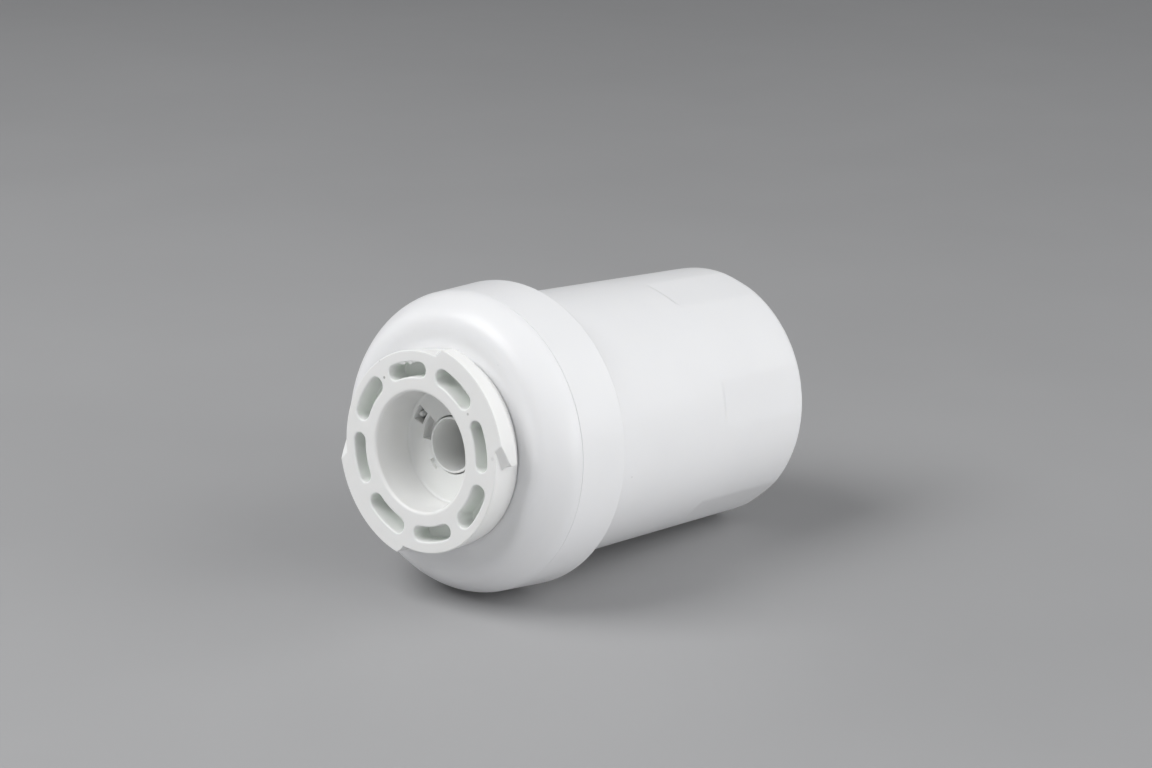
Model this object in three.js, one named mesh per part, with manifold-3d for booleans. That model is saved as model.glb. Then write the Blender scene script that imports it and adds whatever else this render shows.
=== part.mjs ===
// Twist-in water filter cartridge, lying on its side. Millimetres, +Z up.
// The cartridge axis runs along +Y, from the open neck at the front to the closed rear end.
// Angles are in degrees round that axis, from straight up (+Z) towards -X.
import * as THREE from 'three';
import { mergeVertices } from 'three/addons/utils/BufferGeometryUtils.js';
import Module from 'manifold-3d';

const wasm = await Module();
wasm.setup();

// Overall sizes
const TOTAL_LENGTH = 113;
const COLLAR_RADIUS = 38.8;
const GAP = 0.3;

// Roundness of the outer shells and of the smaller inner pieces
const SHELL_SEGMENTS = 64;
const INNER_SEGMENTS = 36;
const SMALL_SEGMENTS = 28;
const SEAL_SIDES = 6;

// Neck with its two bayonet cams and eight blind pockets
const NECK_RADIUS = 25.2;
const NECK_BASE_RADIUS = 24.5;
const NECK_LENGTH = 9.3;
const NECK_EDGE = 0.3;
const SPIGOT_RADIUS = 22.9;
const SPIGOT_END = 18.6;
const BORE_RADIUS = 14.9;
const BORE_EDGE = 0.6;
const LEDGE_RADIUS = 13.9;
const CAM_RADIUS = 27.5;
const CAM_ROOT_RADIUS = 24;
const CAM_FIRST_ANGLE = 93;
const CAM_RAMP_ANGLE = 10.6;
const CAM_LAST_ANGLE = 167;
const CAM_STEP_ANGLE = 171.5;
const CAM_RAMP_DEPTH = 2.4;
const CAM_TIP_THICKNESS = 0.8;
const CAM_DEPTH_AT_RAMP = 6.3;
const CAM_DEPTH_AT_STEP = 5.1;
const CAM_EDGE = 0.9;
const CAM_STEPS = 10;
const POCKET_COUNT = 8;
const POCKET_INNER_RADIUS = 18.6;
const POCKET_OUTER_RADIUS = 22.5;
const POCKET_HALF_ANGLE = 17.6;
const POCKET_FIRST_ANGLE = 15.3;
const POCKET_DEPTH = 6.8;

// Port plate at the bottom of the bore
const PLATE_RADIUS = BORE_RADIUS - GAP;
const PLATE_FRONT = 11.9;
const PLATE_BACK = 15;
const PLATE_HOLE_RADIUS = 7.4;
const PORT_ANGLE = 64;
const PORT_INNER_RADIUS = 10.9;
const PORT_OUTER_RADIUS = 14.1;
const PORT_HALF_ANGLE = 9;
const KEYWAY_ANGLES = [54, 91];
const KEYWAY_RADIUS = 9.9;
const KEYWAY_DEPTH = 2;
const MARK_ANGLES = [126, 144];
const MARK_RADIUS = 8.9;
const MARK_DEPTH = 0.8;

// Outlet tube and its two seals
const TUBE_RADIUS = 7.1;
const TUBE_BORE_RADIUS = 6.5;
const TUBE_FRONT = 11.5;
const TUBE_BACK = 26.6;
const TUBE_SEAL_THICKNESS = 2;
const FRONT_SEAL_Y = 16.6;
const REAR_SEAL_Y = 19.6;

// Head cap: a nearly flat front round the neck and a round shoulder down to the seam
const HUB_RADIUS = SPIGOT_RADIUS + GAP;
const HUB_FRONT = 9.9;
const HUB_BACK = 14;
const HUB_OUTER_RADIUS = 27.8;
const SHOULDER = [
  [24.8, 9.5],
  [27, 9.25],
  [29.8, 9.05],
  [31.2, 9.05],
  [32.5, 9.35],
  [34, 10.15],
  [35.3, 11.55],
  [36.35, 13],
  [37.2, 14.4],
  [37.75, 15.8],
];
const SHOULDER_INSIDE = [[31.6, 14.4], [30.9, 12.6], [29.4, 11.6], [HUB_OUTER_RADIUS, 11.4]];

// Joint between the head cap and the sump
const SEAM_RADIUS = 38;
const SEAM_Y = 17.3;
const SEAM_GAP = 0.3;
const RIM_INNER_RADIUS = 31.6;
const TONGUE_RADIUS = 34.9;
const TONGUE_END = 22;
const BEAD_INNER_RADIUS = 35.6;
const BEAD_OUTER_RADIUS = 36.8;
const BEAD_FRONT = 16.7;
const BEAD_BACK = 18;

// Gasket and lock ring that hold the neck in the head cap
const GASKET_OUTER_RADIUS = 27.5;
const GASKET_THICKNESS = 1.6;
const LOCK_RING_OUTER_RADIUS = 28;
const LOCK_RING_THICKNESS = 2;

// Sump: collar, tapering body, six grip flats and a closed end
const COLLAR_END = 32.4;
const COLLAR_EDGE = 0.5;
const MOUTH_RADIUS = TONGUE_RADIUS + GAP + 0.1;
const SHOULDER_SLOPE = 3.5;
const BODY_EDGE = 0.4;
const BODY_FRONT_RADIUS = 34.25;
const BODY_REAR_RADIUS = 33.2;
const WALL = 2.6;
const END_ROUND = [[32.6, 112.2], [31.2, TOTAL_LENGTH]];
const END_ROUND_START = 110.6;
const FLOOR_INSIDE = 109.6;
const FOOT_RADIUS = 27;
const FOOT_RECESS = 1.2;
const FLAT_COUNT = 6;
const FLAT_FIRST_ANGLE = 42.3;
const FLAT_HALF_ANGLE = 10.5;
const FLAT_START = 78.6;

// Filter block with its covers, end caps and core
const BLOCK_RADIUS = 24.5;
const BLOCK_BORE_RADIUS = 8;
const BLOCK_FRONT = 29.1;
const BLOCK_BACK = 99.4;
const WRAP_THICKNESS = 1.2;
const NET_THICKNESS = 0.7;
const BAND_THICKNESS = 0.6;
const BAND_WIDTH = 3;
const CAP_THICKNESS = 3.2;
const CAP_SKIRT = 4;
const CAP_SKIRT_THICKNESS = 1.2;
const SOCKET_RADIUS = 10;
const SOCKET_FRONT = 21.2;
const GLUE_THICKNESS = 1;
const CORE_RADIUS = 6.6;
const CORE_BORE_RADIUS = 5.4;
const CORE_WRAP_RADIUS = 7.7;
const CORE_ROWS = 5;
const CORE_WINDOW = [5.4, 5];
const CUSHION_RADII = [12, 20];

// Place on the floor: the middle of the length at Y 0, the lowest point of the collar at Z 0
const MIDDLE = -TOTAL_LENGTH / 2;
const AXIS_HEIGHT = COLLAR_RADIUS;

const group = new THREE.Group();
group.name = 'water_filter_cartridge';

const whitePlastic = { color: 0xe9eae8, roughness: 0.34 };
const innerPlastic = { color: 0xdfe2de, roughness: 0.45 };
const rubber = { color: 0x1c1d1f, roughness: 0.7 };
const glue = { color: 0xd9cfae, roughness: 0.4 };

function degrees(angle) {
  return angle * Math.PI / 180;
}

// Point at a radius and angle round the axis
function around(radius, angle, y) {
  return [-radius * Math.sin(degrees(angle)), y, radius * Math.cos(degrees(angle))];
}

// Removes doubled corners and turns the surface so that it faces outwards
function tidy(geometry) {
  geometry.deleteAttribute('normal');
  geometry.deleteAttribute('uv');
  const merged = mergeVertices(geometry, 1e-4);
  const position = merged.attributes.position;
  const index = merged.index.array;
  const kept = [];
  let volume = 0;
  const a = new THREE.Vector3();
  const b = new THREE.Vector3();
  const c = new THREE.Vector3();
  for (let i = 0; i < index.length; i += 3) {
    const [p, q, r] = [index[i], index[i + 1], index[i + 2]];
    if (p === q || q === r || r === p) continue;
    kept.push([p, q, r]);
    a.fromBufferAttribute(position, p);
    b.fromBufferAttribute(position, q);
    c.fromBufferAttribute(position, r);
    volume += a.dot(b.cross(c));
  }
  merged.setIndex(kept.flatMap(([p, q, r]) => (volume > 0 ? [p, q, r] : [p, r, q])));
  return merged;
}

function toSolid(geometry) {
  const clean = tidy(geometry);
  return new wasm.Manifold(new wasm.Mesh({
    numProp: 3,
    vertProperties: new Float32Array(clean.attributes.position.array),
    triVerts: new Uint32Array(clean.index.array),
  }));
}

function fromSolid(solid) {
  const mesh = solid.getMesh();
  const geometry = new THREE.BufferGeometry();
  geometry.setAttribute('position', new THREE.BufferAttribute(new Float32Array(mesh.vertProperties), 3));
  geometry.setIndex(new THREE.BufferAttribute(new Uint32Array(mesh.triVerts), 1));
  return geometry;
}

function cut(base, tools) {
  return tools.reduce((solid, tool) => solid.subtract(toSolid(tool)), base);
}

// Solid of revolution from a profile of [radius, y] pairs
function revolve(profile, segments) {
  const points = profile.map(([radius, y]) => new THREE.Vector2(radius, y));
  const last = points[points.length - 1];
  const onAxis = points[0].x === 0 && last.x === 0;
  if (!onAxis) points.push(points[0].clone());
  return tidy(new THREE.LatheGeometry(points, segments));
}

function ring(innerRadius, outerRadius, front, back, segments) {
  return revolve([
    [innerRadius, front],
    [outerRadius, front],
    [outerRadius, back],
    [innerRadius, back],
  ], segments);
}

// Round rubber seal that lies on the outlet tube
function tubeSeal(y) {
  const half = TUBE_SEAL_THICKNESS / 2;
  const profile = [];
  for (let i = 0; i < SEAL_SIDES; i += 1) {
    const turn = degrees(360 * i / SEAL_SIDES);
    profile.push([PLATE_HOLE_RADIUS + half + half * Math.cos(turn), y + half * Math.sin(turn)]);
  }
  return revolve(profile, SMALL_SEGMENTS);
}

// Straight prism along the axis over an outline of [radius, angle] corners
function prism(outline, front, back) {
  const shape = new THREE.Shape(outline.map(([radius, angle]) => {
    const [x, , z] = around(radius, angle, 0);
    return new THREE.Vector2(x, -z);
  }));
  const geometry = new THREE.ExtrudeGeometry(shape, { depth: back - front, bevelEnabled: false });
  geometry.rotateX(-Math.PI / 2);
  geometry.translate(0, front, 0);
  return geometry;
}

function arc(radius, fromAngle, toAngle, steps) {
  const corners = [];
  for (let i = 0; i <= steps; i += 1) {
    corners.push([radius, fromAngle + (toAngle - fromAngle) * i / steps]);
  }
  return corners;
}

function sector(innerRadius, outerRadius, angles, front, back) {
  const steps = 4;
  const inner = arc(innerRadius, angles[0], angles[1], steps);
  const outer = arc(outerRadius, angles[1], angles[0], steps);
  return prism([...inner, ...outer], front, back);
}

// Curved slot with round ends
function kidney(innerRadius, outerRadius, centre, halfAngle, front, back) {
  const middle = (innerRadius + outerRadius) / 2;
  const round = (outerRadius - innerRadius) / 2;
  const straight = halfAngle - THREE.MathUtils.radToDeg(round / middle);
  const arcSteps = 5;
  const roundSteps = 5;
  const outline = [];
  for (const side of [1, -1]) {
    const end = centre + side * straight;
    const radii = side > 0 ? innerRadius : outerRadius;
    outline.push(...arc(radii, centre - side * straight, end, arcSteps).slice(0, -1));
    for (let i = 0; i <= roundSteps; i += 1) {
      const turn = degrees(180 * i / roundSteps);
      const radius = middle - side * round * Math.cos(turn);
      const angle = end + side * THREE.MathUtils.radToDeg(round * Math.sin(turn) / middle);
      outline.push([radius, angle]);
    }
  }
  return prism(outline.slice(0, -1), front, back);
}

// One bayonet cam, flush with the neck face: it thins to a tip at one end and has a slanted step at the other
function cam(turned) {
  const rampEnd = CAM_FIRST_ANGLE + CAM_RAMP_ANGLE;
  const angles = [CAM_FIRST_ANGLE];
  for (let i = 0; i <= CAM_STEPS; i += 1) {
    angles.push(rampEnd + (CAM_LAST_ANGLE - rampEnd) * i / CAM_STEPS);
  }
  angles.push(CAM_STEP_ANGLE);
  const span = CAM_STEP_ANGLE - CAM_FIRST_ANGLE;
  const position = [];
  const index = [];
  const corners = 5;
  angles.forEach((angle, i) => {
    const front = i === 0 ? CAM_RAMP_DEPTH : 0;
    const along = (angle - CAM_FIRST_ANGLE) / span;
    const fullBack = CAM_DEPTH_AT_RAMP + (CAM_DEPTH_AT_STEP - CAM_DEPTH_AT_RAMP) * along;
    const back = i === 0 ? CAM_RAMP_DEPTH + CAM_TIP_THICKNESS : fullBack;
    const outer = angle === CAM_STEP_ANGLE ? NECK_RADIUS - NECK_EDGE : CAM_RADIUS;
    const edge = Math.min(CAM_EDGE, (outer - CAM_ROOT_RADIUS) / 2, (back - front) / 2);
    const section = [
      [CAM_ROOT_RADIUS, front],
      [outer, front],
      [outer, back - edge],
      [outer - edge, back],
      [CAM_ROOT_RADIUS, back],
    ];
    for (const [radius, y] of section) position.push(...around(radius, angle + turned, y));
    if (i === 0) return;
    for (let j = 0; j < corners; j += 1) {
      const next = (j + 1) % corners;
      const [p, q] = [(i - 1) * corners + j, (i - 1) * corners + next];
      const [r, s] = [i * corners + next, i * corners + j];
      index.push(p, q, r, p, r, s);
    }
  });
  const last = (angles.length - 1) * corners;
  for (let j = 1; j < corners - 1; j += 1) {
    index.push(0, j + 1, j, last, last + j, last + j + 1);
  }
  const geometry = new THREE.BufferGeometry();
  geometry.setAttribute('position', new THREE.Float32BufferAttribute(position, 3));
  geometry.setIndex(index);
  return geometry;
}

function bayonetNeck() {
  let solid = toSolid(revolve([
    [BORE_RADIUS + BORE_EDGE, 0],
    [NECK_RADIUS - NECK_EDGE, 0],
    [NECK_RADIUS, NECK_EDGE],
    [NECK_BASE_RADIUS, NECK_LENGTH - NECK_EDGE],
    [NECK_BASE_RADIUS - NECK_EDGE, NECK_LENGTH],
    [SPIGOT_RADIUS, NECK_LENGTH],
    [SPIGOT_RADIUS, SPIGOT_END],
    [LEDGE_RADIUS, SPIGOT_END],
    [LEDGE_RADIUS, PLATE_BACK + GAP],
    [BORE_RADIUS, PLATE_BACK + GAP],
    [BORE_RADIUS, BORE_EDGE],
  ], SHELL_SEGMENTS));
  for (const turned of [0, 180]) solid = solid.add(toSolid(cam(turned)));
  const pockets = [];
  const above = -1;
  for (let i = 0; i < POCKET_COUNT; i += 1) {
    const centre = POCKET_FIRST_ANGLE + 360 * i / POCKET_COUNT;
    pockets.push(kidney(POCKET_INNER_RADIUS, POCKET_OUTER_RADIUS, centre,
      POCKET_HALF_ANGLE, above, POCKET_DEPTH));
  }
  return fromSolid(cut(solid, pockets));
}

function portPlate() {
  const disc = toSolid(ring(PLATE_HOLE_RADIUS, PLATE_RADIUS, PLATE_FRONT, PLATE_BACK, INNER_SEGMENTS));
  const inside = PLATE_HOLE_RADIUS - 1;
  const [front, back] = [PLATE_FRONT - 1, PLATE_BACK + 1];
  const tools = [];
  for (const turned of [0, 180]) {
    const port = [PORT_ANGLE - PORT_HALF_ANGLE + turned, PORT_ANGLE + PORT_HALF_ANGLE + turned];
    const keyway = KEYWAY_ANGLES.map((angle) => angle + turned);
    const mark = MARK_ANGLES.map((angle) => angle + turned);
    tools.push(sector(PORT_INNER_RADIUS, PORT_OUTER_RADIUS, port, front, back));
    tools.push(sector(inside, KEYWAY_RADIUS, keyway, front, PLATE_FRONT + KEYWAY_DEPTH));
    tools.push(sector(inside, MARK_RADIUS, mark, front, PLATE_FRONT + MARK_DEPTH));
  }
  return fromSolid(cut(disc, tools));
}

function headCap() {
  return revolve([
    [HUB_RADIUS, HUB_FRONT],
    ...SHOULDER,
    [SEAM_RADIUS, SEAM_Y - SEAM_GAP / 2],
    [BEAD_OUTER_RADIUS + GAP, SEAM_Y - SEAM_GAP / 2],
    [BEAD_OUTER_RADIUS + GAP, BEAD_FRONT - GAP],
    [TONGUE_RADIUS, BEAD_FRONT - GAP],
    [TONGUE_RADIUS, TONGUE_END],
    [RIM_INNER_RADIUS, TONGUE_END],
    ...SHOULDER_INSIDE,
    [HUB_OUTER_RADIUS, HUB_BACK],
    [HUB_RADIUS, HUB_BACK],
  ], SHELL_SEGMENTS);
}

function weldBead() {
  return ring(BEAD_INNER_RADIUS, BEAD_OUTER_RADIUS, BEAD_FRONT, BEAD_BACK, INNER_SEGMENTS);
}

function bodyRadius(y) {
  const along = (y - COLLAR_END) / (TOTAL_LENGTH - COLLAR_END);
  return BODY_FRONT_RADIUS + (BODY_REAR_RADIUS - BODY_FRONT_RADIUS) * along;
}

function sump() {
  const mouth = SEAM_Y + SEAM_GAP / 2;
  const insideStart = COLLAR_END + 1;
  const shell = toSolid(revolve([
    [0, TOTAL_LENGTH - FOOT_RECESS],
    [0, FLOOR_INSIDE],
    [bodyRadius(FLOOR_INSIDE) - WALL - 1, FLOOR_INSIDE],
    [bodyRadius(FLOOR_INSIDE) - WALL, FLOOR_INSIDE - 1],
    [BODY_FRONT_RADIUS - WALL, insideStart],
    [MOUTH_RADIUS, insideStart - SHOULDER_SLOPE],
    [MOUTH_RADIUS, BEAD_BACK + GAP],
    [BEAD_OUTER_RADIUS + GAP, BEAD_BACK + GAP],
    [BEAD_OUTER_RADIUS + GAP, mouth],
    [SEAM_RADIUS, mouth],
    [COLLAR_RADIUS, COLLAR_END - COLLAR_EDGE],
    [COLLAR_RADIUS - COLLAR_EDGE, COLLAR_END],
    [BODY_FRONT_RADIUS + BODY_EDGE, COLLAR_END],
    [BODY_FRONT_RADIUS, COLLAR_END + BODY_EDGE],
    [bodyRadius(END_ROUND_START), END_ROUND_START],
    ...END_ROUND,
    [FOOT_RADIUS, TOTAL_LENGTH],
    [FOOT_RADIUS - FOOT_RECESS, TOTAL_LENGTH - FOOT_RECESS],
  ], SHELL_SEGMENTS));
  const length = TOTAL_LENGTH + 2 - FLAT_START;
  const width = 20;
  const reach = 4;
  const taper = Math.atan2(BODY_FRONT_RADIUS - BODY_REAR_RADIUS, TOTAL_LENGTH - COLLAR_END);
  const flats = [];
  for (let i = 0; i < FLAT_COUNT; i += 1) {
    const block = new THREE.BoxGeometry(width, length, reach);
    block.translate(0, length / 2, reach / 2);
    block.rotateX(-taper);
    block.translate(0, FLAT_START, bodyRadius(FLAT_START) * Math.cos(degrees(FLAT_HALF_ANGLE)));
    block.rotateY(-degrees(FLAT_FIRST_ANGLE + 360 * i / FLAT_COUNT));
    flats.push(block);
  }
  return fromSolid(cut(shell, flats));
}

function outletTube() {
  return ring(TUBE_BORE_RADIUS, TUBE_RADIUS, TUBE_FRONT, TUBE_BACK, SMALL_SEGMENTS);
}

function neckGasket() {
  const front = HUB_BACK + GAP;
  return ring(HUB_RADIUS, GASKET_OUTER_RADIUS, front, front + GASKET_THICKNESS, INNER_SEGMENTS);
}

function lockRing() {
  const front = HUB_BACK + GASKET_THICKNESS + 2 * GAP;
  return ring(HUB_RADIUS, LOCK_RING_OUTER_RADIUS, front, front + LOCK_RING_THICKNESS, INNER_SEGMENTS);
}

// Front end cap: a disc with a skirt over the block and a socket for the outlet tube
function frontBlockCap() {
  const back = BLOCK_FRONT - GLUE_THICKNESS - 2 * GAP;
  const front = back - CAP_THICKNESS;
  const skirtInner = BLOCK_RADIUS + GAP;
  const skirtOuter = skirtInner + CAP_SKIRT_THICKNESS;
  return revolve([
    [PLATE_HOLE_RADIUS, SOCKET_FRONT],
    [SOCKET_RADIUS, SOCKET_FRONT],
    [SOCKET_RADIUS, front],
    [skirtOuter, front],
    [skirtOuter, back + CAP_SKIRT],
    [skirtInner, back + CAP_SKIRT],
    [skirtInner, back],
    [PLATE_HOLE_RADIUS, back],
  ], INNER_SEGMENTS);
}

function rearBlockCap() {
  const front = BLOCK_BACK + GLUE_THICKNESS + 2 * GAP;
  const back = front + CAP_THICKNESS;
  const skirtInner = BLOCK_RADIUS + GAP;
  const skirtOuter = skirtInner + CAP_SKIRT_THICKNESS;
  return revolve([
    [0, front],
    [skirtInner, front],
    [skirtInner, front - CAP_SKIRT],
    [skirtOuter, front - CAP_SKIRT],
    [skirtOuter, back],
    [0, back],
  ], INNER_SEGMENTS);
}

function glueRing(front) {
  return ring(BLOCK_BORE_RADIUS, BLOCK_RADIUS, front, front + GLUE_THICKNESS, INNER_SEGMENTS);
}

// Covers lie on the block between the skirts of the two end caps
function cover(level, thickness) {
  const inner = BLOCK_RADIUS + GAP + level;
  const front = BLOCK_FRONT + CAP_SKIRT - GLUE_THICKNESS;
  const back = BLOCK_BACK - CAP_SKIRT + GLUE_THICKNESS;
  return ring(inner, inner + thickness, front, back, INNER_SEGMENTS);
}

function netBand(front) {
  const inner = BLOCK_RADIUS + 3 * GAP + WRAP_THICKNESS + NET_THICKNESS;
  return ring(inner, inner + BAND_THICKNESS, front, front + BAND_WIDTH, INNER_SEGMENTS);
}

function coreTube() {
  const tube = toSolid(ring(CORE_BORE_RADIUS, CORE_RADIUS, BLOCK_FRONT, BLOCK_BACK, SMALL_SEGMENTS));
  const pitch = (BLOCK_BACK - BLOCK_FRONT) / CORE_ROWS;
  const windows = [];
  for (let row = 0; row < CORE_ROWS; row += 1) {
    for (const turn of [0, 90]) {
      const window = new THREE.BoxGeometry(CORE_WINDOW[1], CORE_WINDOW[0], 3 * CORE_RADIUS);
      window.rotateY(degrees(turn));
      window.translate(0, BLOCK_FRONT + (row + 0.5) * pitch, 0);
      windows.push(window);
    }
  }
  return fromSolid(cut(tube, windows));
}

function coreWrap() {
  return ring(CORE_RADIUS + GAP, CORE_WRAP_RADIUS, BLOCK_FRONT, BLOCK_BACK, SMALL_SEGMENTS);
}

function rearCushion() {
  const front = BLOCK_BACK + GLUE_THICKNESS + CAP_THICKNESS + 3 * GAP;
  return ring(CUSHION_RADII[0], CUSHION_RADII[1], front, FLOOR_INSIDE - GAP, SMALL_SEGMENTS);
}

function addPart(name, geometry, look) {
  const material = new THREE.MeshStandardMaterial({ metalness: 0, ...look });
  material.name = `${name}_material`;
  geometry.computeVertexNormals();
  const mesh = new THREE.Mesh(geometry, material);
  mesh.name = name;
  mesh.position.set(0, MIDDLE, AXIS_HEIGHT);
  group.add(mesh);
}

addPart('sump', sump(), whitePlastic);
addPart('head_cap', headCap(), whitePlastic);
addPart('bayonet_neck', bayonetNeck(), { color: 0xe4e6e2, roughness: 0.4 });
addPart('port_plate', portPlate(), innerPlastic);
addPart('outlet_tube', outletTube(), innerPlastic);
addPart('weld_bead', weldBead(), { color: 0xf4f4f0, roughness: 0.5 });
addPart('neck_gasket', neckGasket(), rubber);
addPart('neck_lock_ring', lockRing(), innerPlastic);
addPart('tube_seal_front', tubeSeal(FRONT_SEAL_Y), rubber);
addPart('tube_seal_rear', tubeSeal(REAR_SEAL_Y), rubber);
addPart('block_cap_front', frontBlockCap(), innerPlastic);
addPart('block_cap_rear', rearBlockCap(), innerPlastic);
addPart('glue_ring_front', glueRing(BLOCK_FRONT - GAP - GLUE_THICKNESS), glue);
addPart('glue_ring_rear', glueRing(BLOCK_BACK + GAP), glue);
addPart('carbon_block', ring(BLOCK_BORE_RADIUS, BLOCK_RADIUS, BLOCK_FRONT, BLOCK_BACK, INNER_SEGMENTS),
  { color: 0x1b1b1c, roughness: 0.95 });
addPart('prefilter_wrap', cover(0, WRAP_THICKNESS), { color: 0xf0f0ec, roughness: 0.95 });
addPart('outer_netting', cover(WRAP_THICKNESS + GAP, NET_THICKNESS), { color: 0xe6e8e6, roughness: 0.6 });
addPart('net_band_front', netBand(BLOCK_FRONT + CAP_SKIRT), { color: 0xdadcda, roughness: 0.5 });
addPart('net_band_rear', netBand(BLOCK_BACK - CAP_SKIRT - BAND_WIDTH), { color: 0xdadcda, roughness: 0.5 });
addPart('core_tube', coreTube(), innerPlastic);
addPart('core_wrap', coreWrap(), { color: 0xececea, roughness: 0.95 });
addPart('rear_cushion', rearCushion(), { color: 0x3a3b3d, roughness: 0.9 });

export default group;
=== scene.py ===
"""Twist-in water filter cartridge, lying on its side: finished shapes, materials, light and camera.

Tables and helpers work in millimetres: radii from the cartridge's axis, depths from the neck's face
along the axis, and angles in degrees round it, from straight up towards -X. Meshes are in metres.
"""
import math

import bmesh
import bpy
import numpy as np
from mathutils import Matrix, Vector


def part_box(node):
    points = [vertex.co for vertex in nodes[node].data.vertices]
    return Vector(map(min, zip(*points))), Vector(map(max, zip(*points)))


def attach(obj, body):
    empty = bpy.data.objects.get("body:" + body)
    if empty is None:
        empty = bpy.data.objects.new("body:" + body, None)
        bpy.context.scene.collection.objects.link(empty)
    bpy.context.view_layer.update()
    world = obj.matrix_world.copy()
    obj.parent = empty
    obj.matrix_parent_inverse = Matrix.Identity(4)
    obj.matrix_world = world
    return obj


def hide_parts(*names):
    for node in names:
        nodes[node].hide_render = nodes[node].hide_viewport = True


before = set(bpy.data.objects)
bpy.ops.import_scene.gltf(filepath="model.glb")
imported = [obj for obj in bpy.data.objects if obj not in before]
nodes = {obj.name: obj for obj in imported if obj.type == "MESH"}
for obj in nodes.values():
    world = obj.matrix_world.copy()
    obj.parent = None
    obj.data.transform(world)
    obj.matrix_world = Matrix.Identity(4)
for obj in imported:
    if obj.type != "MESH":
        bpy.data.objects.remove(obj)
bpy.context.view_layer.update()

MM = 0.001
low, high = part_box("sump")
AXIS_X = (low.x + high.x) / 2
AXIS_Z = (low.z + high.z) / 2
FACE_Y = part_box("bayonet_neck")[0].y

# ------------------------------------------------------------------ sizes
NECK_RADIUS, NECK_BASE_RADIUS, NECK_LENGTH, NECK_EDGE = 25.2, 24.5, 9.3, 0.3
NECK_BASE_ROUND, NECK_WALL_END = 1.0, 8.1
SPIGOT_RADIUS, SPIGOT_END = 22.9, 18.6
BORE_RADIUS, BORE_EDGE, LEDGE_RADIUS, LEDGE_FRONT = 14.9, 0.8, 13.9, 15.3
FACE_OUTER, FACE_INNER = 24.7, 16.1
CAM_RADIUS, CAM_START, CAM_RAMP_END, CAM_END, CAM_STEP_END = 27.5, 93, 103.6, 167, 171.5
CAM_RAMP_DEPTH, CAM_DEPTH_AT_RAMP, CAM_DEPTH_AT_STEP = 2.4, 6.3, 5.1
CAM_EDGE, CAM_BACK_EDGE, CAM_STEP_RADIUS = 0.22, 1.9, 24.9
CAM_FOOT, CAM_FOOT_FADE = 7.9, 22
POCKET_INNER, POCKET_OUTER, POCKET_DEPTH, POCKET_EDGE = 18.6, (22.3, 22.9), 5.6, 0.4
POCKET_COUNT, POCKET_FIRST, POCKET_HALF = 8, 15.3, 17.6
PLATE_FRONT, PLATE_BACK, PLATE_RADIUS, PLATE_HOLE, PLATE_FILLET = 11.9, 15.0, 14.87, 7.4, 0.7
PORT, PORT_INNER, PORT_OUTER = (55.3, 73), 10.9, 14.1
PIN_RADIUS, PIN_ANGLE, PIN_DEPTH, PIN_SIZE = 13.1, 65.5, 13.9, (0.85, 1.5)
KEYWAY, KEYWAY_RADIUS, KEYWAY_DEPTH = (54, 91), 9.9, 2.8
MARK, MARK_RADIUS, MARK_DEPTH = (126, 144), 8.9, 0.8
TUBE_RADIUS, TUBE_BORE, TUBE_FRONT, TUBE_BACK = 7.1, 6.5, 11.5, 26.6
SHOULDER = [
    (24.5, 9.3), (25.7, 9.35), (27.0, 9.2), (28.4, 8.85), (29.8, 8.65), (31.2, 8.75), (32.6, 9.2),
    (34.0, 10.1), (35.3, 11.5), (36.35, 13.0), (37.2, 14.4), (37.75, 15.8), (38.0, 17.0),
]
SEAM_RADIUS, SEAM_Y, SEAM_HALF = 38.0, 17.3, 0.036
COLLAR_RADIUS, COLLAR_END = 38.8, 32.4
BODY_FRONT, BODY_REAR, LENGTH, WALL = 34.25, 33.2, 113.0, 2.6
FLAT_COUNT, FLAT_FIRST, FLAT_HALF, FLAT_START, FLAT_SHARE = 6, 42.3, 10.5, 78.6, 0.75
REAR_FLOOR, REAR_RECESS, REAR_ROUND = 109.6, 1.2, 2.4


# ------------------------------------------------------------------ mesh helpers
def place(radius, angle, depth):
    """Points round the cartridge's axis, in metres."""
    radius, turn, depth = np.broadcast_arrays(radius, np.radians(angle), depth)
    return np.stack([
        AXIS_X - MM * radius * np.sin(turn),
        FACE_Y + MM * depth,
        AXIS_Z + MM * radius * np.cos(turn),
    ], axis=-1)


def smooth(t):
    """0 below 0, 1 above 1, and an S-curve between."""
    t = np.clip(t, 0, 1)
    return t * t * (3 - 2 * t)


def soft_min(a, b, blend):
    """The smaller of two values, with the corner between them rounded."""
    h = np.clip(0.5 + 0.5 * (b - a) / blend, 0, 1)
    return b * (1 - h) + a * h - blend * h * (1 - h)


def rounded(corners, steps=5):
    """Closed profile through (radius, depth, rounding) corners, with a support point beside each round."""
    out = []
    count = len(corners)
    for i, (radius, depth, size) in enumerate(corners):
        p = np.array([radius, depth], float)
        if not size:
            out.append(p)
            continue
        a = np.array(corners[i - 1][:2], float) - p
        b = np.array(corners[(i + 1) % count][:2], float) - p
        length_a, length_b = np.linalg.norm(a), np.linalg.norm(b)
        a, b = a / length_a, b / length_b
        angle = math.acos(float(np.clip(a @ b, -1, 1)))
        reach = min(size / math.tan(angle / 2), 0.42 * length_a, 0.42 * length_b)
        size = reach * math.tan(angle / 2)
        centre = p + (a + b) / np.linalg.norm(a + b) * size / math.sin(angle / 2)
        start, end = p + a * reach, p + b * reach
        out.append(p + a * min(reach * 1.3, 0.46 * length_a))
        v0, v1 = start - centre, end - centre
        turn = math.acos(float(np.clip(v0 @ v1 / size ** 2, -1, 1)))
        for k in range(steps + 1):
            t = k / steps
            out.append(centre + (v0 * math.sin((1 - t) * turn) + v1 * math.sin(t * turn)) / math.sin(turn))
        out.append(p + b * min(reach * 1.3, 0.46 * length_b))
    return np.array(out)


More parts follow.
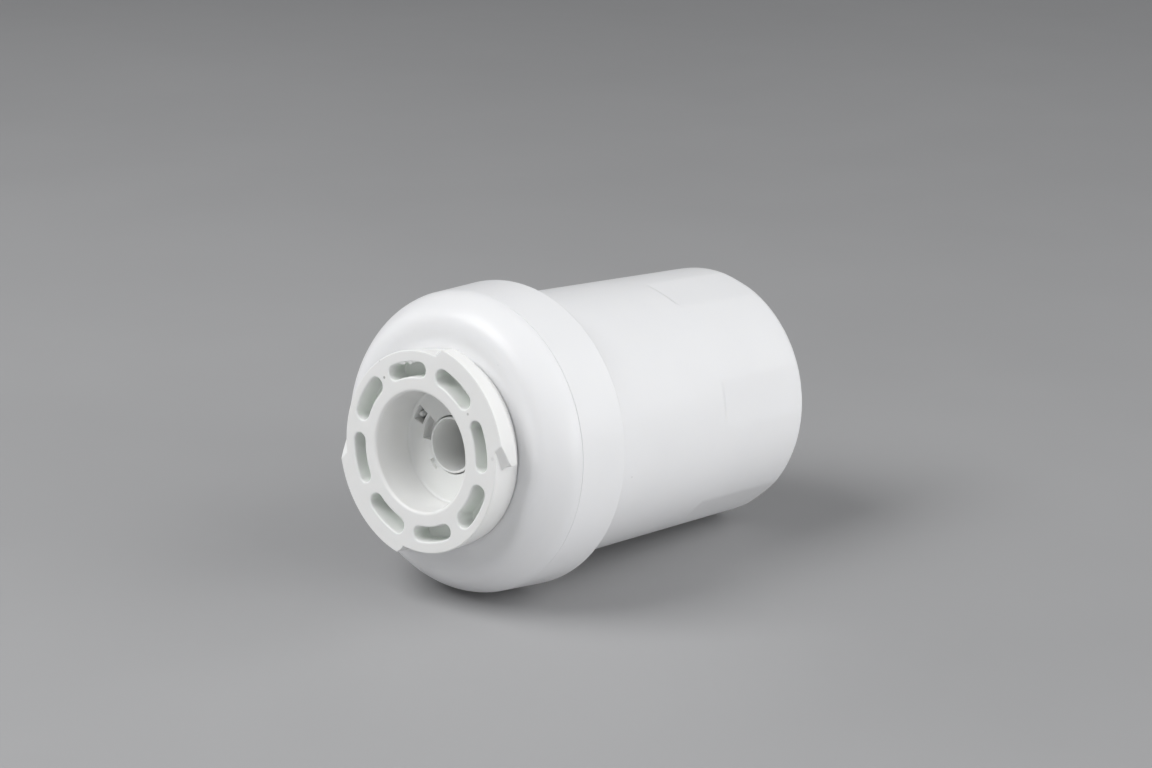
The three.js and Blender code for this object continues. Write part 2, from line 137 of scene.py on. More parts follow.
def spline(points, steps=6):
    """Uniform cubic B-spline that starts and ends on the first and last point."""
    p = np.array(points, float)
    p = np.vstack([2 * p[0] - p[1], p, 2 * p[-1] - p[-2]])
    out = []
    for i in range(len(p) - 3):
        for t in np.linspace(0, 1, steps, endpoint=False):
            weights = np.array([(1 - t) ** 3, 3 * t ** 3 - 6 * t ** 2 + 4,
                                -3 * t ** 3 + 3 * t ** 2 + 3 * t + 1, t ** 3]) / 6
            out.append(weights @ p[i:i + 4])
    out.append(p[-2])
    return np.array(out)


def finish_mesh(name, mesh):
    """Welds doubled corners, turns the skin outwards, shades it smooth and links it."""
    bm = bmesh.new()
    bm.from_mesh(mesh)
    bmesh.ops.remove_doubles(bm, verts=bm.verts, dist=2e-7)
    bmesh.ops.dissolve_degenerate(bm, edges=bm.edges, dist=1e-7)
    bmesh.ops.recalc_face_normals(bm, faces=bm.faces)
    for face in bm.faces:
        face.smooth = True
    bm.to_mesh(mesh)
    bm.free()
    mesh.update()
    obj = bpy.data.objects.new(name, mesh)
    bpy.context.scene.collection.objects.link(obj)
    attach(obj, "root")
    return obj


def grid_faces(rows, columns, close_rows):
    """Quads over a grid whose columns join up round the axis."""
    i = np.arange(rows if close_rows else rows - 1)[:, None]
    j = np.arange(columns)[None, :]
    here, below = i * columns, (i + 1) % rows * columns
    right = (j + 1) % columns
    quads = np.stack([here + j, here + right, below + right, below + j], axis=-1)
    return quads.reshape(-1, 4)


def shell(name, points):
    """Closed piece from a grid of points [row, column], whose rows and columns both join up."""
    rows, columns = points.shape[:2]
    mesh = bpy.data.meshes.new(name)
    mesh.from_pydata(points.reshape(-1, 3).tolist(), [], grid_faces(rows, columns, True).tolist())
    return finish_mesh(name, mesh)


def lathe(name, profile, segments):
    """Closed piece turned from a closed profile of (radius, depth) points."""
    angles = np.arange(segments) * 360 / segments
    profile = np.asarray(profile, float)
    return shell(name, place(profile[:, 0][:, None], angles[None, :], profile[:, 1][:, None]))


# ------------------------------------------------------------------ sump
def body_radius(depth):
    return BODY_FRONT + (BODY_REAR - BODY_FRONT) * (depth - COLLAR_END) / (LENGTH - COLLAR_END)


def make_sump():
    mouth = SEAM_Y + SEAM_HALF
    inside = body_radius(REAR_FLOOR) - WALL
    recess = LENGTH - REAR_RECESS
    corners = [
        (0, recess - 0.3, 0), (0, REAR_FLOOR, 0), (inside, REAR_FLOOR, 1.0), (BODY_FRONT - WALL, 33.4, 1.0),
        (35.3, 29.9, 1.0), (35.3, 18.3, 0.15), (37.1, 18.3, 0.15), (37.1, mouth, 0.1),
        (SEAM_RADIUS, mouth, 0.08), (COLLAR_RADIUS, COLLAR_END, 0.4), (BODY_FRONT, COLLAR_END, 0.35),
    ]
    body = [(body_radius(s), s, 0) for s in (34, 40, 48, 56, 64, 70, 75, 77, 77.7)]
    body += [(body_radius(s), s, 0) for s in np.arange(78, 79.8, 0.15)]
    body += [(body_radius(s), s, 0) for s in (80.2, 81, 84, 90, 96, 102, 107, 109.5)]
    centre_radius, centre_depth = body_radius(LENGTH) - REAR_ROUND, LENGTH - REAR_ROUND
    turn = np.radians(np.linspace(0, 90, 9))
    round_end = [(centre_radius + REAR_ROUND * math.cos(t), centre_depth + REAR_ROUND * math.sin(t), 0)
                 for t in turn]
    foot = [(29, LENGTH, 0), (27, LENGTH, 0.3), (25.8, recess, 0.5), (12, recess, 0)]
    gate_mark = [(3.6, recess, 0.15), (3.2, recess - 0.3, 0.15)]
    profile = rounded(corners + body + round_end + foot + gate_mark)
    angles = list(np.arange(0, 360, 1.5))
    apart = 360 / FLAT_COUNT
    for i in range(FLAT_COUNT):
        for edge in (-FLAT_HALF, FLAT_HALF):
            middle = FLAT_FIRST + apart * i + edge
            angles += [middle + d for d in (-0.9, -0.6, -0.35, -0.15, 0, 0.15, 0.35, 0.6, 0.9)]
    angles = np.unique(np.round(np.mod(angles, 360), 4))
    radius = np.repeat(profile[:, :1], len(angles), axis=1)
    depth = profile[:, 1:]
    off = (angles - FLAT_FIRST + apart / 2) % apart - apart / 2
    cut = body_radius(FLAT_START) * math.cos(math.radians(FLAT_HALF)) \
        - (BODY_FRONT - BODY_REAR) / (LENGTH - COLLAR_END) * (depth - FLAT_START)
    flat = cut / np.cos(np.radians(off))[None, :]
    outer = (profile[:, 0] > 31) & (profile[:, 1] > 77) & (np.arange(len(profile)) > 30)
    step = smooth((depth - 77.9) / 1.7)
    lowered = radius + step * FLAT_SHARE * (soft_min(radius, flat, 0.2) - radius)
    radius = np.where(outer[:, None], lowered, radius)
    return shell("sump_shell", place(radius, angles[None, :], depth))


# ------------------------------------------------------------------ head cap
def make_head_cap():
    dome = [(r, s, 0) for r, s in spline(SHOULDER)]
    rim = SEAM_Y - SEAM_HALF
    corners = [(23.2, 9.6, 0.1), (24.0, 9.4, 0)] + dome + [
        (SEAM_RADIUS, rim, 0.08), (37.1, rim, 0.1), (37.1, 16.4, 0.15), (34.9, 16.4, 0.15),
        (34.9, 22, 0.3), (31.6, 22, 0.3), (31.6, 14.4, 0.8), (30.9, 12.6, 0.6), (29.4, 11.6, 0.4),
        (27.8, 11.4, 0.3), (27.8, 14, 0.2), (23.2, 14, 0.2),
    ]
    return lathe("head_cap_shell", rounded(corners), 288)


# ------------------------------------------------------------------ bayonet neck
def wall_radius(depth):
    return NECK_RADIUS + (NECK_BASE_RADIUS - NECK_RADIUS) * depth / NECK_LENGTH


def arc(centre_radius, centre_depth, size, start, end, steps=4):
    turn = np.radians(np.linspace(start, end, steps + 1))
    return [(centre_radius + size * math.sin(t), centre_depth - size * math.cos(t)) for t in turn]


def plain_side():
    """Side of the neck where there is no cam, with as many points as cam_side."""
    side = arc(NECK_RADIUS - NECK_EDGE, NECK_EDGE, NECK_EDGE, 0, 90)
    depths = [1.2, 2.2, 2.3, 2.36, 2.42, 2.48, 2.55, 2.6, 2.65, 2.7, 2.75, 2.85, 3.6, 4.2, 4.9,
              5.0, 5.1, 5.2, 5.3, 5.4, 5.5, 5.6, 5.7, 5.8, 5.9, 6.0, 6.1, 6.25, 6.8, 7.4, 7.9]
    side += [(wall_radius(s), s) for s in depths]
    return np.array(side)


def cam_side(outer, front, back, lean):
    """Side of the neck through a cam with this outer radius, front and back, whose back leans away."""
    flush = [(r, 0) for r in np.linspace(24.88, 25.35, 8)]
    root = wall_radius(front)
    ramped = arc(NECK_RADIUS - NECK_EDGE, NECK_EDGE, NECK_EDGE, 0, 90)
    middle = (NECK_EDGE + front) / 2
    ramped += [(wall_radius(middle), middle), (root, front - 0.05), (root + 0.08, front)]
    keep = min(1.0, front / 0.45)
    start = (1 - keep) * np.array(flush) + keep * np.array(ramped)
    proud = max(outer - wall_radius(back), 0.02)
    edge = min(CAM_EDGE, 0.3 * proud, 0.25 * (back - front))
    back_edge = min(CAM_BACK_EDGE, 0.75 * proud, 0.45 * (back - front))
    shelf_end = outer - edge * 1.4
    shelf = [start[-1] + (np.array([shelf_end, front]) - start[-1]) * t for t in (1 / 3, 2 / 3, 1)]
    top = arc(outer - edge, front + edge, edge, 0, 90)
    high_edge, low_edge = front + edge * 1.4, back - back_edge * 1.1
    wall = [(outer, high_edge + (low_edge - high_edge) * t) for t in (0, 1 / 3, 2 / 3, 1)]
    under = arc(outer - back_edge, back - back_edge, back_edge, 90, 180, 8)
    foot = wall_radius(back)
    near = foot + min(0.1, 0.2 * proud)
    last = outer - back_edge
    tail = [((last + near) / 2, back + lean / 2), (near, back + lean), (foot, back + lean + 0.02)]
    back = back + lean + 0.15
    tail.append((foot, back))
    for t in (0.35, 0.65, 0.9):
        depth = back + (NECK_WALL_END - back) * t
        tail.append((wall_radius(depth), depth))
    return np.array([tuple(p) for p in list(start) + shelf + top + wall + under + tail])


def neck_angles():
    """Angles of the neck's columns, closer together at the ends of the cams and of their ramps."""
    fine = []
    for turned in (0, 180):
        for first, last, step in ((89, 92.4, 0.4), (92.4, 93.8, 0.1), (93.8, 97, 0.4), (101, 107, 0.4),
                                  (166, 168.5, 0.25), (168.5, 171.2, 0.3), (171.2, 173, 0.2)):
            fine += list(np.arange(first, last, step) + turned)
    return np.unique(np.round(np.mod(list(np.arange(0, 360, 1.5)) + fine, 360), 3))


def neck_side(angles):
    """Radius, angle and depth of each point of the neck's side, [row, column]."""
    plain = plain_side()
    columns = []
    for angle in angles:
        turned = angle % 180
        rise = float(smooth((turned - CAM_START + 0.35) / 0.7))
        outer = NECK_RADIUS + (CAM_RADIUS - NECK_RADIUS) * rise
        slope = (CAM_RADIUS - CAM_STEP_RADIUS) / (CAM_STEP_END - CAM_END)
        outer = float(soft_min(outer, CAM_RADIUS - slope * (turned - CAM_END), 0.12))
        front = CAM_RAMP_DEPTH * (CAM_RAMP_END - turned) / (CAM_RAMP_END - CAM_START)
        front = max(0.0, min(CAM_RAMP_DEPTH, front))
        along = (turned - CAM_START) / (CAM_STEP_END - CAM_START)
        back = CAM_DEPTH_AT_RAMP + (CAM_DEPTH_AT_STEP - CAM_DEPTH_AT_RAMP) * min(max(along, 0), 1)
        proud = outer - NECK_RADIUS
        share = float(smooth(proud / 0.5)) if turned > CAM_START - 0.4 else 0.0
        if share == 0:
            columns.append(plain)
        else:
            lean = (CAM_FOOT - back) * (1 - float(smooth((turned - CAM_RAMP_END) / CAM_FOOT_FADE)))
            columns.append(share * cam_side(outer, front, back, lean) + (1 - share) * plain)
    side = np.stack(columns, axis=1)
    radius, depth = side[..., 0], side[..., 1]
    turned = angles % 180
    # Each ramp ends on a slant, farther round the axis at its outer edge than at its inner edge
    slant = np.interp(turned, [86, CAM_START, CAM_RAMP_END, 114], [0, 2.2, 1.1, 0])
    outward = np.clip((radius - 26.35) / 1.15, -1, 1) * smooth((radius - FACE_OUTER) / 0.15)
    in_front = smooth((CAM_RAMP_DEPTH + 0.5 - depth) / 0.4)
    return radius, angles[None, :] + slant[None, :] * outward * in_front, depth


def kidney(centre, outer, offset, arc_steps=14, round_steps=10):
    """Corners (radius, angle) of a curved slot with round ends, pushed out by an offset."""
    middle = (POCKET_INNER + outer) / 2
    size = (outer - POCKET_INNER) / 2
    end = POCKET_HALF - math.degrees(size / middle)
    out = []
    for side in (1, -1):
        edge = middle - side * (size + offset)
        out += [(edge, centre + side * (-end + 2 * end * k / arc_steps)) for k in range(arc_steps)]
        for k in range(round_steps + 1):
            turn = math.pi * k / round_steps
            radial = middle - side * (size + offset) * math.cos(turn)
            across = (size + offset) * math.sin(turn)
            beyond = math.degrees(math.atan2(across, radial))
            out.append((math.hypot(radial, across), centre + side * (end + beyond)))
        out.pop()
    return out


def pocket_levels():
    """Offset of the outline and depth of each level of a pocket, from its lip to its floor."""
    levels = [(POCKET_EDGE + 0.12, 0)]
    for turn in np.radians(np.linspace(0, 90, 6)):
        levels.append((POCKET_EDGE * (1 - math.sin(turn)), POCKET_EDGE * (1 - math.cos(turn))))
    levels += [(0, POCKET_EDGE + 0.12), (-0.04, 2.6), (-0.08, 4.6), (-0.1, POCKET_DEPTH - 0.5)]
    for turn in np.radians(np.linspace(0, 90, 5)):
        levels.append((-0.1 - 0.4 * (1 - math.cos(turn)), POCKET_DEPTH - 0.4 * (1 - math.sin(turn))))
    return levels + [(-0.65, POCKET_DEPTH)]


def make_neck():
    """Neck moulding: side and bore are one grid, and the face between them is filled round the pockets."""
    angles = neck_angles()
    radius, angle, depth = neck_side(angles)
    base = arc(NECK_BASE_RADIUS - NECK_BASE_ROUND, NECK_LENGTH - NECK_BASE_ROUND, NECK_BASE_ROUND, 90, 180, 7)
    rest = rounded([
        (SPIGOT_RADIUS, NECK_LENGTH, 0.05), (SPIGOT_RADIUS, SPIGOT_END, 0.3),
        (LEDGE_RADIUS, SPIGOT_END, 0.2), (LEDGE_RADIUS, LEDGE_FRONT, 0.15),
        (BORE_RADIUS, LEDGE_FRONT, 0.1), (BORE_RADIUS, 8, 0), (BORE_RADIUS, 3, 0),
        (BORE_RADIUS, 0, BORE_EDGE), (20, 0, 0),
    ])
    rest = [p for p in rest if p[0] < FACE_INNER or p[1] > 1]
    tail = np.array(base + list(rest) + [(FACE_INNER, 0)])
    grid = np.concatenate([
        place(FACE_OUTER, angles, 0)[None],
        place(radius, angle, depth),
        place(tail[:, :1], angles[None, :], tail[:, 1:]),
    ])
    rows, columns = grid.shape[:2]
    bm = bmesh.new()
    verts = [bm.verts.new(p) for p in grid.reshape(-1, 3)]
    for quad in grid_faces(rows, columns, False):
        bm.faces.new([verts[k] for k in quad])
    rims = [verts[:columns], verts[-columns:]]
    for i in range(POCKET_COUNT):
        centre = POCKET_FIRST + 360 / POCKET_COUNT * i
        outer = POCKET_OUTER[i % 2]
        loops = []
        for offset, level in pocket_levels():
            corners = np.array(kidney(centre, outer, offset))
            loops.append([bm.verts.new(p) for p in place(corners[:, 0], corners[:, 1], level)])
        for upper, lower in zip(loops, loops[1:]):
            for k in range(len(upper)):
                m = (k + 1) % len(upper)
                face = bm.faces.new([upper[k], upper[m], lower[m], lower[k]])
                face.material_index = 1
        bm.faces.new(loops[-1]).material_index = 1
        rims.append(loops[0])
    edges = [bm.edges.get((rim[k], rim[(k + 1) % len(rim)])) for rim in rims for k in range(len(rim))]
    bmesh.ops.triangle_fill(bm, use_beauty=True, use_dissolve=False, edges=edges, normal=(0, -1, 0))
    mesh = bpy.data.meshes.new("neck_moulding")
    bm.to_mesh(mesh)
    bm.free()
    return finish_mesh("neck_moulding", mesh)


# How far the flash reaches in from the outer lip of the top pocket, along its length
FLASH = (0.10, 0.28, 0.52, 0.44, 0.62, 0.95, 0.80, 0.38, 0.22, 0.47, 0.78, 0.58, 0.70, 0.34, 0.26, 0.40, 0.12)


def make_flash():
    """Thin ragged flash left by the mould on a pocket's lip."""
    centre, outer = POCKET_FIRST, POCKET_OUTER[0] + 0.22
    spread = np.linspace(-9.5, 8.5, (len(FLASH) - 1) * 4 + 1)
    reach = np.interp(np.arange(len(spread)) / 4, np.arange(len(FLASH)), FLASH)
    reach = reach + 0.05 * np.sin(spread * 5.3) + 0.03 * np.sin(spread * 11.7 + 1)
    reach = np.clip(reach, 0.06, 1.05)
    lift = 0.16 + 0.09 * np.sin(spread * 1.9 + 0.6) + 0.04 * np.sin(spread * 4.1)
    top, bottom = [], []
    for share in (0, 0.25, 0.5, 0.75, 0.92, 1.0):
        thin = 0.10 * (1 - share) ** 0.5 + 0.02
        radius = outer - share * reach
        level = 0.10 + lift * share
        top.append(place(radius, centre + spread, level))
        bottom.append(place(radius, centre + spread, level + thin))
    grid = np.array(top + bottom[::-1])
    rows, columns = grid.shape[:2]
    bm = bmesh.new()
    verts = [[bm.verts.new(p) for p in row] for row in grid]
    for i in range(rows):
        for j in range(columns - 1):
            n = (i + 1) % rows
            bm.faces.new([verts[i][j], verts[i][j + 1], verts[n][j + 1], verts[n][j]])
    bm.faces.new([verts[i][0] for i in range(rows)])
    bm.faces.new([verts[i][-1] for i in range(rows)])
    mesh = bpy.data.meshes.new("pocket_flash")
    bm.to_mesh(mesh)
    bm.free()
    return finish_mesh("pocket_flash", mesh)


# ------------------------------------------------------------------ port plate and outlet tube
def within(angle, radius, angles, inner, outer):
    """Which points lie between two angles and two radii."""
    tiny = 1e-6
    turned = (angle > angles[0] - tiny) & (angle < angles[1] + tiny)
    return turned & (radius > inner - tiny) & (radius < outer + tiny)


def make_port_plate():
    """Disc with a port, a pin in the port, a keyway and a mark, all twice round."""
    line = 0.12
    radii = [PLATE_HOLE, PLATE_HOLE + 0.15]
    for r in (MARK_RADIUS, KEYWAY_RADIUS, PORT_INNER, PORT_OUTER):
        radii += [r - line, r, r + line]
    radii += [8.2, 10.4, 12.1, 13.0]
    radii += [PLATE_RADIUS - PLATE_FILLET * k for k in (1, 0.75, 0.5, 0.3, 0.15, 0.05, 0)]
    radii = np.unique(np.round(radii, 3))
    angles = list(np.arange(0, 360, 3.0))
    for turned in (0, 180):
        for a in (*PORT, *KEYWAY, *MARK):
            angles += [a + turned - 0.7, a + turned, a + turned + 0.7]
    angles = np.unique(np.round(np.mod(angles, 360), 3))
    r, a = np.meshgrid(radii, angles % 180, indexing="ij")
    front = np.full(r.shape, PLATE_FRONT)
    front[within(a, r, KEYWAY, 0, KEYWAY_RADIUS)] = PLATE_FRONT + KEYWAY_DEPTH
    front[within(a, r, MARK, 0, MARK_RADIUS)] = PLATE_FRONT + MARK_DEPTH
    front = front + np.where(r == radii[0], 0.12, 0)
    climb = np.clip((r - PLATE_RADIUS + PLATE_FILLET) / PLATE_FILLET, 0, 1)
    front = front - PLATE_FILLET * (1 - np.sqrt(1 - climb ** 2))
    port = within(a, r, PORT, PORT_INNER, PORT_OUTER)
    front = front + np.where(port, 0.1, 0)
    back = np.full(r.shape, PLATE_BACK)
    full = np.meshgrid(radii, angles, indexing="ij")[1]
    bm = bmesh.new()
    rows, columns = r.shape
    tops = [[bm.verts.new(p) for p in row] for row in place(r, full, front)]
    ends = [[bm.verts.new(p) for p in row] for row in place(r, full, back)]
    hole = np.zeros((rows - 1, columns), bool)
    for i in range(rows - 1):
        for j in range(columns):
            n = (j + 1) % columns
            hole[i, j] = port[i, j] and port[i + 1, j] and port[i, n] and port[i + 1, n]
    for i in range(rows - 1):
        for j in range(columns):
            n = (j + 1) % columns
            if hole[i, j]:
                continue
            bm.faces.new([tops[i][j], tops[i][n], tops[i + 1][n], tops[i + 1][j]])
            bm.faces.new([ends[i][j], ends[i + 1][j], ends[i + 1][n], ends[i][n]])
            sides = (
                (i == 0 or hole[i - 1, j], (i, j), (i, n)),
                (i == rows - 2 or hole[min(i + 1, rows - 2), j], (i + 1, j), (i + 1, n)),
                (hole[i, j - 1], (i, j), (i + 1, j)),
                (hole[i, n], (i, n), (i + 1, n)),
            )
            for is_open, p, q in sides:
                if is_open:
                    bm.faces.new([tops[p[0]][p[1]], tops[q[0]][q[1]], ends[q[0]][q[1]], ends[p[0]][p[1]]])
    for turned in (0, 180):
        stretch = Matrix.Diagonal((1, PIN_SIZE[1] / PIN_SIZE[0], 1, 1))
        centre = Matrix.Translation(place(PIN_RADIUS, PIN_ANGLE + turned, PIN_DEPTH))
        bmesh.ops.create_icosphere(bm, subdivisions=3, radius=PIN_SIZE[0] * MM, matrix=centre @ stretch)
    mesh = bpy.data.meshes.new("port_plate_disc")
    bm.to_mesh(mesh)
    bm.free()
    return finish_mesh("port_plate_disc", mesh)


def make_tube():
    return lathe("outlet_tube_smooth", rounded([
        (TUBE_BORE, TUBE_FRONT, 0.15), (TUBE_RADIUS, TUBE_FRONT, 0.22),
        (TUBE_RADIUS, TUBE_BACK, 0.15), (TUBE_BORE, TUBE_BACK, 0.15),
    ]), 128)


# ------------------------------------------------------------------ materials
class Shader:
    """Small helper round one node material."""

    def __init__(self, name):
        self.material = bpy.data.materials.new(name)
        self.material.use_nodes = True
        self.tree = self.material.node_tree
        self.bsdf = self.tree.nodes["Principled BSDF"]
        self.coordinates = self.add("ShaderNodeTexCoord").outputs["Object"]

    def add(self, kind, **settings):
        node = self.tree.nodes.new(kind)
        for key, value in settings.items():
            setattr(node, key, value)
        return node

    def link(self, a, b):
        self.tree.links.new(a, b)

    def noise(self, per_mm, detail=3, stretch=None, rough=0.5):
        node = self.add("ShaderNodeTexNoise")
        node.inputs["Scale"].default_value = per_mm / MM
        node.inputs["Detail"].default_value = detail
        node.inputs["Roughness"].default_value = rough
        source = self.coordinates
        if stretch:
            mapping = self.add("ShaderNodeMapping")
            mapping.inputs["Scale"].default_value = stretch
            self.link(source, mapping.inputs["Vector"])
            source = mapping.outputs["Vector"]
        self.link(source, node.inputs["Vector"])
        return node.outputs["Fac"]

    def ramp(self, source, low, high, out_low, out_high):
        node = self.add("ShaderNodeMapRange")
        node.inputs["From Min"].default_value = low
        node.inputs["From Max"].default_value = high
        node.inputs["To Min"].default_value = out_low
        node.inputs["To Max"].default_value = out_high
        self.link(source, node.inputs["Value"])
        return node.outputs["Result"]

    def mix(self, factor, a, b):
        node = self.add("ShaderNodeMix", data_type="RGBA")
        self.put(factor, node.inputs["Factor"])
        self.put(a, node.inputs["A"])
        self.put(b, node.inputs["B"])
        return node.outputs["Result"]

    def put(self, value, socket):
        """A socket's value: another node's output, a number, or a colour."""
        if isinstance(value, bpy.types.NodeSocket):
            self.link(value, socket)
        elif isinstance(value, (int, float)):
            socket.default_value = value
        else:
            socket.default_value = (*value, 1)

    def math(self, operation, a, b=0.0):
        node = self.add("ShaderNodeMath", operation=operation)
        self.put(a, node.inputs[0])
        self.put(b, node.inputs[1])
        return node.outputs[0]

    def spot(self, point, size):
        """1 within a small ball round a point, 0 outside."""
        node = self.add("ShaderNodeVectorMath", operation="DISTANCE")
        self.link(self.coordinates, node.inputs[0])
        node.inputs[1].default_value = tuple(point)
        return self.ramp(node.outputs["Value"], size * MM * 0.55, size * MM, 1.0, 0.0)

    def bump(self, height, distance_mm, below=None):
        node = self.add("ShaderNodeBump")
        node.inputs["Distance"].default_value = distance_mm * MM
        node.inputs["Strength"].default_value = 1.0
        self.link(height, node.inputs["Height"])
        if below is not None:
            self.link(below, node.inputs["Normal"])
        return node.outputs["Normal"]


def white_plastic(name, tone, shade, roughness, specks_and_dot_shade=(), gloss=0.5):
    """Moulded white plastic: faint clouding, fine orange peel, light scuffs and a few dark spots: specks, and
    painted shade where tiny moulding dots stand on the neck's face.
    """
    s = Shader(name)
    cloud = s.ramp(s.noise(0.035, 2), 0.35, 0.65, 0.0, 1.0)
    colour = s.mix(cloud, tone, shade)
    dust = s.ramp(s.noise(1.9, 1), 0.80, 0.86, 0.0, 0.25)
    colour = s.mix(dust, colour, tuple(0.72 * c for c in tone))
    # Dark spots: specks, and painted shade standing in for tiny moulding dots
    for point, size, dark in specks_and_dot_shade:
        colour = s.mix(s.math("MULTIPLY", s.spot(point, size), dark), colour, (0.30, 0.30, 0.29))
    s.link(colour, s.bsdf.inputs["Base Color"])
    scuff = s.ramp(s.noise(0.9, 4, (1, 0.3, 1), 0.6), 0.5, 0.9, 0.0, 0.04)
    wide = s.ramp(s.noise(0.04, 2), 0.3, 0.7, roughness - 0.015, roughness + 0.015)
    s.link(s.math("ADD", wide, scuff), s.bsdf.inputs["Roughness"])
    peel = s.bump(s.noise(0.35, 1), 0.002)
    grain = s.bump(s.noise(7.0, 2), 0.0006, below=peel)
    s.link(grain, s.bsdf.inputs["Normal"])
    s.bsdf.inputs["Specular IOR Level"].default_value = gloss
    s.bsdf.inputs["Subsurface Weight"].default_value = 0.12
    s.bsdf.inputs["Subsurface Radius"].default_value = (1.0, 0.95, 0.85)
    s.bsdf.inputs["Subsurface Scale"].default_value = 0.0015
    return s.material


def pocket_plastic():
    """Natural plastic seen inside the blind pockets: greener with depth as the plastic's own tint, and darker
    with depth as painted shade.
    """
    s = Shader("neck_pocket_plastic")
    split = s.add("ShaderNodeSeparateXYZ")
    s.link(s.coordinates, split.inputs["Vector"])
    # Painted shade: from 0.4 mm to 4 mm into a pocket the colour darkens, as well as turning greener.
    deep_tint_and_shade = s.ramp(split.outputs["Y"], FACE_Y + 0.4 * MM, FACE_Y + 4.0 * MM, 0.0, 1.0)
    cloud = s.ramp(s.noise(0.3, 3), 0.3, 0.7, -0.06, 0.06)
    colour = s.mix(s.math("ADD", deep_tint_and_shade, cloud), (0.86, 0.868, 0.857), (0.80, 0.828, 0.797))
    s.link(colour, s.bsdf.inputs["Base Color"])
    s.link(s.ramp(s.noise(0.5, 3), 0.3, 0.7, 0.36, 0.46), s.bsdf.inputs["Roughness"])
    s.link(s.bump(s.noise(0.8, 3), 0.01), s.bsdf.inputs["Normal"])
    s.bsdf.inputs["Subsurface Weight"].default_value = 0.25
    s.bsdf.inputs["Subsurface Radius"].default_value = (0.9, 1.0, 0.88)
    s.bsdf.inputs["Subsurface Scale"].default_value = 0.0025
    return s.material


def rubber():
    s = Shader("seal_rubber")
    s.link(s.mix(s.noise(0.8, 4), (0.012, 0.012, 0.013), (0.03, 0.03, 0.031)), s.bsdf.inputs["Base Color"])
    s.link(s.ramp(s.noise(1.5, 3), 0.3, 0.7, 0.5, 0.68), s.bsdf.inputs["Roughness"])
    s.link(s.bump(s.noise(2.5, 3), 0.01), s.bsdf.inputs["Normal"])
    return s.material


def carbon():
    """Pressed carbon: sparkling black grains with pores."""
    s = Shader("carbon_block")
    cells = s.add("ShaderNodeTexVoronoi")
    cells.inputs["Scale"].default_value = 1.6 / MM
    s.link(s.coordinates, cells.inputs["Vector"])
    grain = s.ramp(cells.outputs["Distance"], 0.0, 0.7, 1.0, 0.0)
    s.link(s.mix(grain, (0.008, 0.008, 0.009), (0.045, 0.044, 0.043)), s.bsdf.inputs["Base Color"])
    s.link(s.ramp(s.noise(3.0, 2), 0.3, 0.7, 0.55, 0.95), s.bsdf.inputs["Roughness"])
    s.link(s.bump(grain, 0.15), s.bsdf.inputs["Normal"])
    return s.material


def fleece(name, tone):
    """Pressed fibres: long thin streaks in two directions."""
    s = Shader(name)
    one = s.noise(1.2, 5, (1, 0.08, 1), 0.7)
    two = s.noise(1.2, 5, (0.15, 1, 0.15), 0.7)
    fibre = s.math("MAXIMUM", one, two)
    hollow = tuple(0.72 * c for c in tone)
    s.link(s.mix(s.ramp(fibre, 0.4, 0.7, 0.0, 1.0), hollow, tone), s.bsdf.inputs["Base Color"])
    s.link(s.ramp(fibre, 0.4, 0.7, 0.95, 0.8), s.bsdf.inputs["Roughness"])
    s.link(s.bump(fibre, 0.12), s.bsdf.inputs["Normal"])
    s.bsdf.inputs["Sheen Weight"].default_value = 0.3
    return s.material


def netting():
    """Extruded mesh sleeve: two sets of slanted strands with hollows between them."""
    s = Shader("outer_netting")
    split = s.add("ShaderNodeSeparateXYZ")
    s.link(s.coordinates, split.inputs["Vector"])
    sideways = s.math("SUBTRACT", split.outputs["X"], AXIS_X)
    upward = s.math("SUBTRACT", split.outputs["Z"], AXIS_Z)
    turn = s.math("MULTIPLY", s.math("ARCTAN2", sideways, upward), 30.0)
    along = s.math("MULTIPLY", split.outputs["Y"], 1.25 / MM)
    strands = []
    for operation in ("ADD", "SUBTRACT"):
        wave = s.math("SINE", s.math(operation, turn, along))
        strands.append(s.ramp(wave, 0.2, 0.9, 0.0, 1.0))
    strand = s.math("MAXIMUM", strands[0], strands[1])
    s.link(s.mix(strand, (0.42, 0.43, 0.42), (0.80, 0.81, 0.80)), s.bsdf.inputs["Base Color"])
    s.link(s.ramp(s.noise(1.0, 3), 0.3, 0.7, 0.38, 0.55), s.bsdf.inputs["Roughness"])
    s.link(s.bump(strand, 0.3), s.bsdf.inputs["Normal"])
    return s.material


def hot_melt():
    s = Shader("hot_melt_glue")
    s.link(s.mix(s.noise(0.3, 3), (0.66, 0.58, 0.38), (0.78, 0.71, 0.52)), s.bsdf.inputs["Base Color"])
    s.link(s.ramp(s.noise(0.5, 2), 0.3, 0.7, 0.22, 0.4), s.bsdf.inputs["Roughness"])
    s.link(s.bump(s.noise(0.35, 3), 0.1), s.bsdf.inputs["Normal"])
    s.bsdf.inputs["Subsurface Weight"].default_value = 0.3
    s.bsdf.inputs["Subsurface Scale"].default_value = 0.002
    return s.material


def foam():
    s = Shader("cushion_foam")
    cells = s.add("ShaderNodeTexVoronoi")
    cells.inputs["Scale"].default_value = 1.1 / MM
    s.link(s.coordinates, cells.inputs["Vector"])
    pore = s.ramp(cells.outputs["Distance"], 0.1, 0.6, 0.0, 1.0)
    s.link(s.mix(pore, (0.02, 0.02, 0.021), (0.09, 0.09, 0.093)), s.bsdf.inputs["Base Color"])
    s.link(s.ramp(s.noise(2.0, 3), 0.3, 0.7, 0.8, 0.95), s.bsdf.inputs["Roughness"])
    s.link(s.bump(pore, 0.25), s.bsdf.inputs["Normal"])
    return s.material


def dress(obj, slot, *materials):
    for material in materials:
        obj.data.materials.append(material)


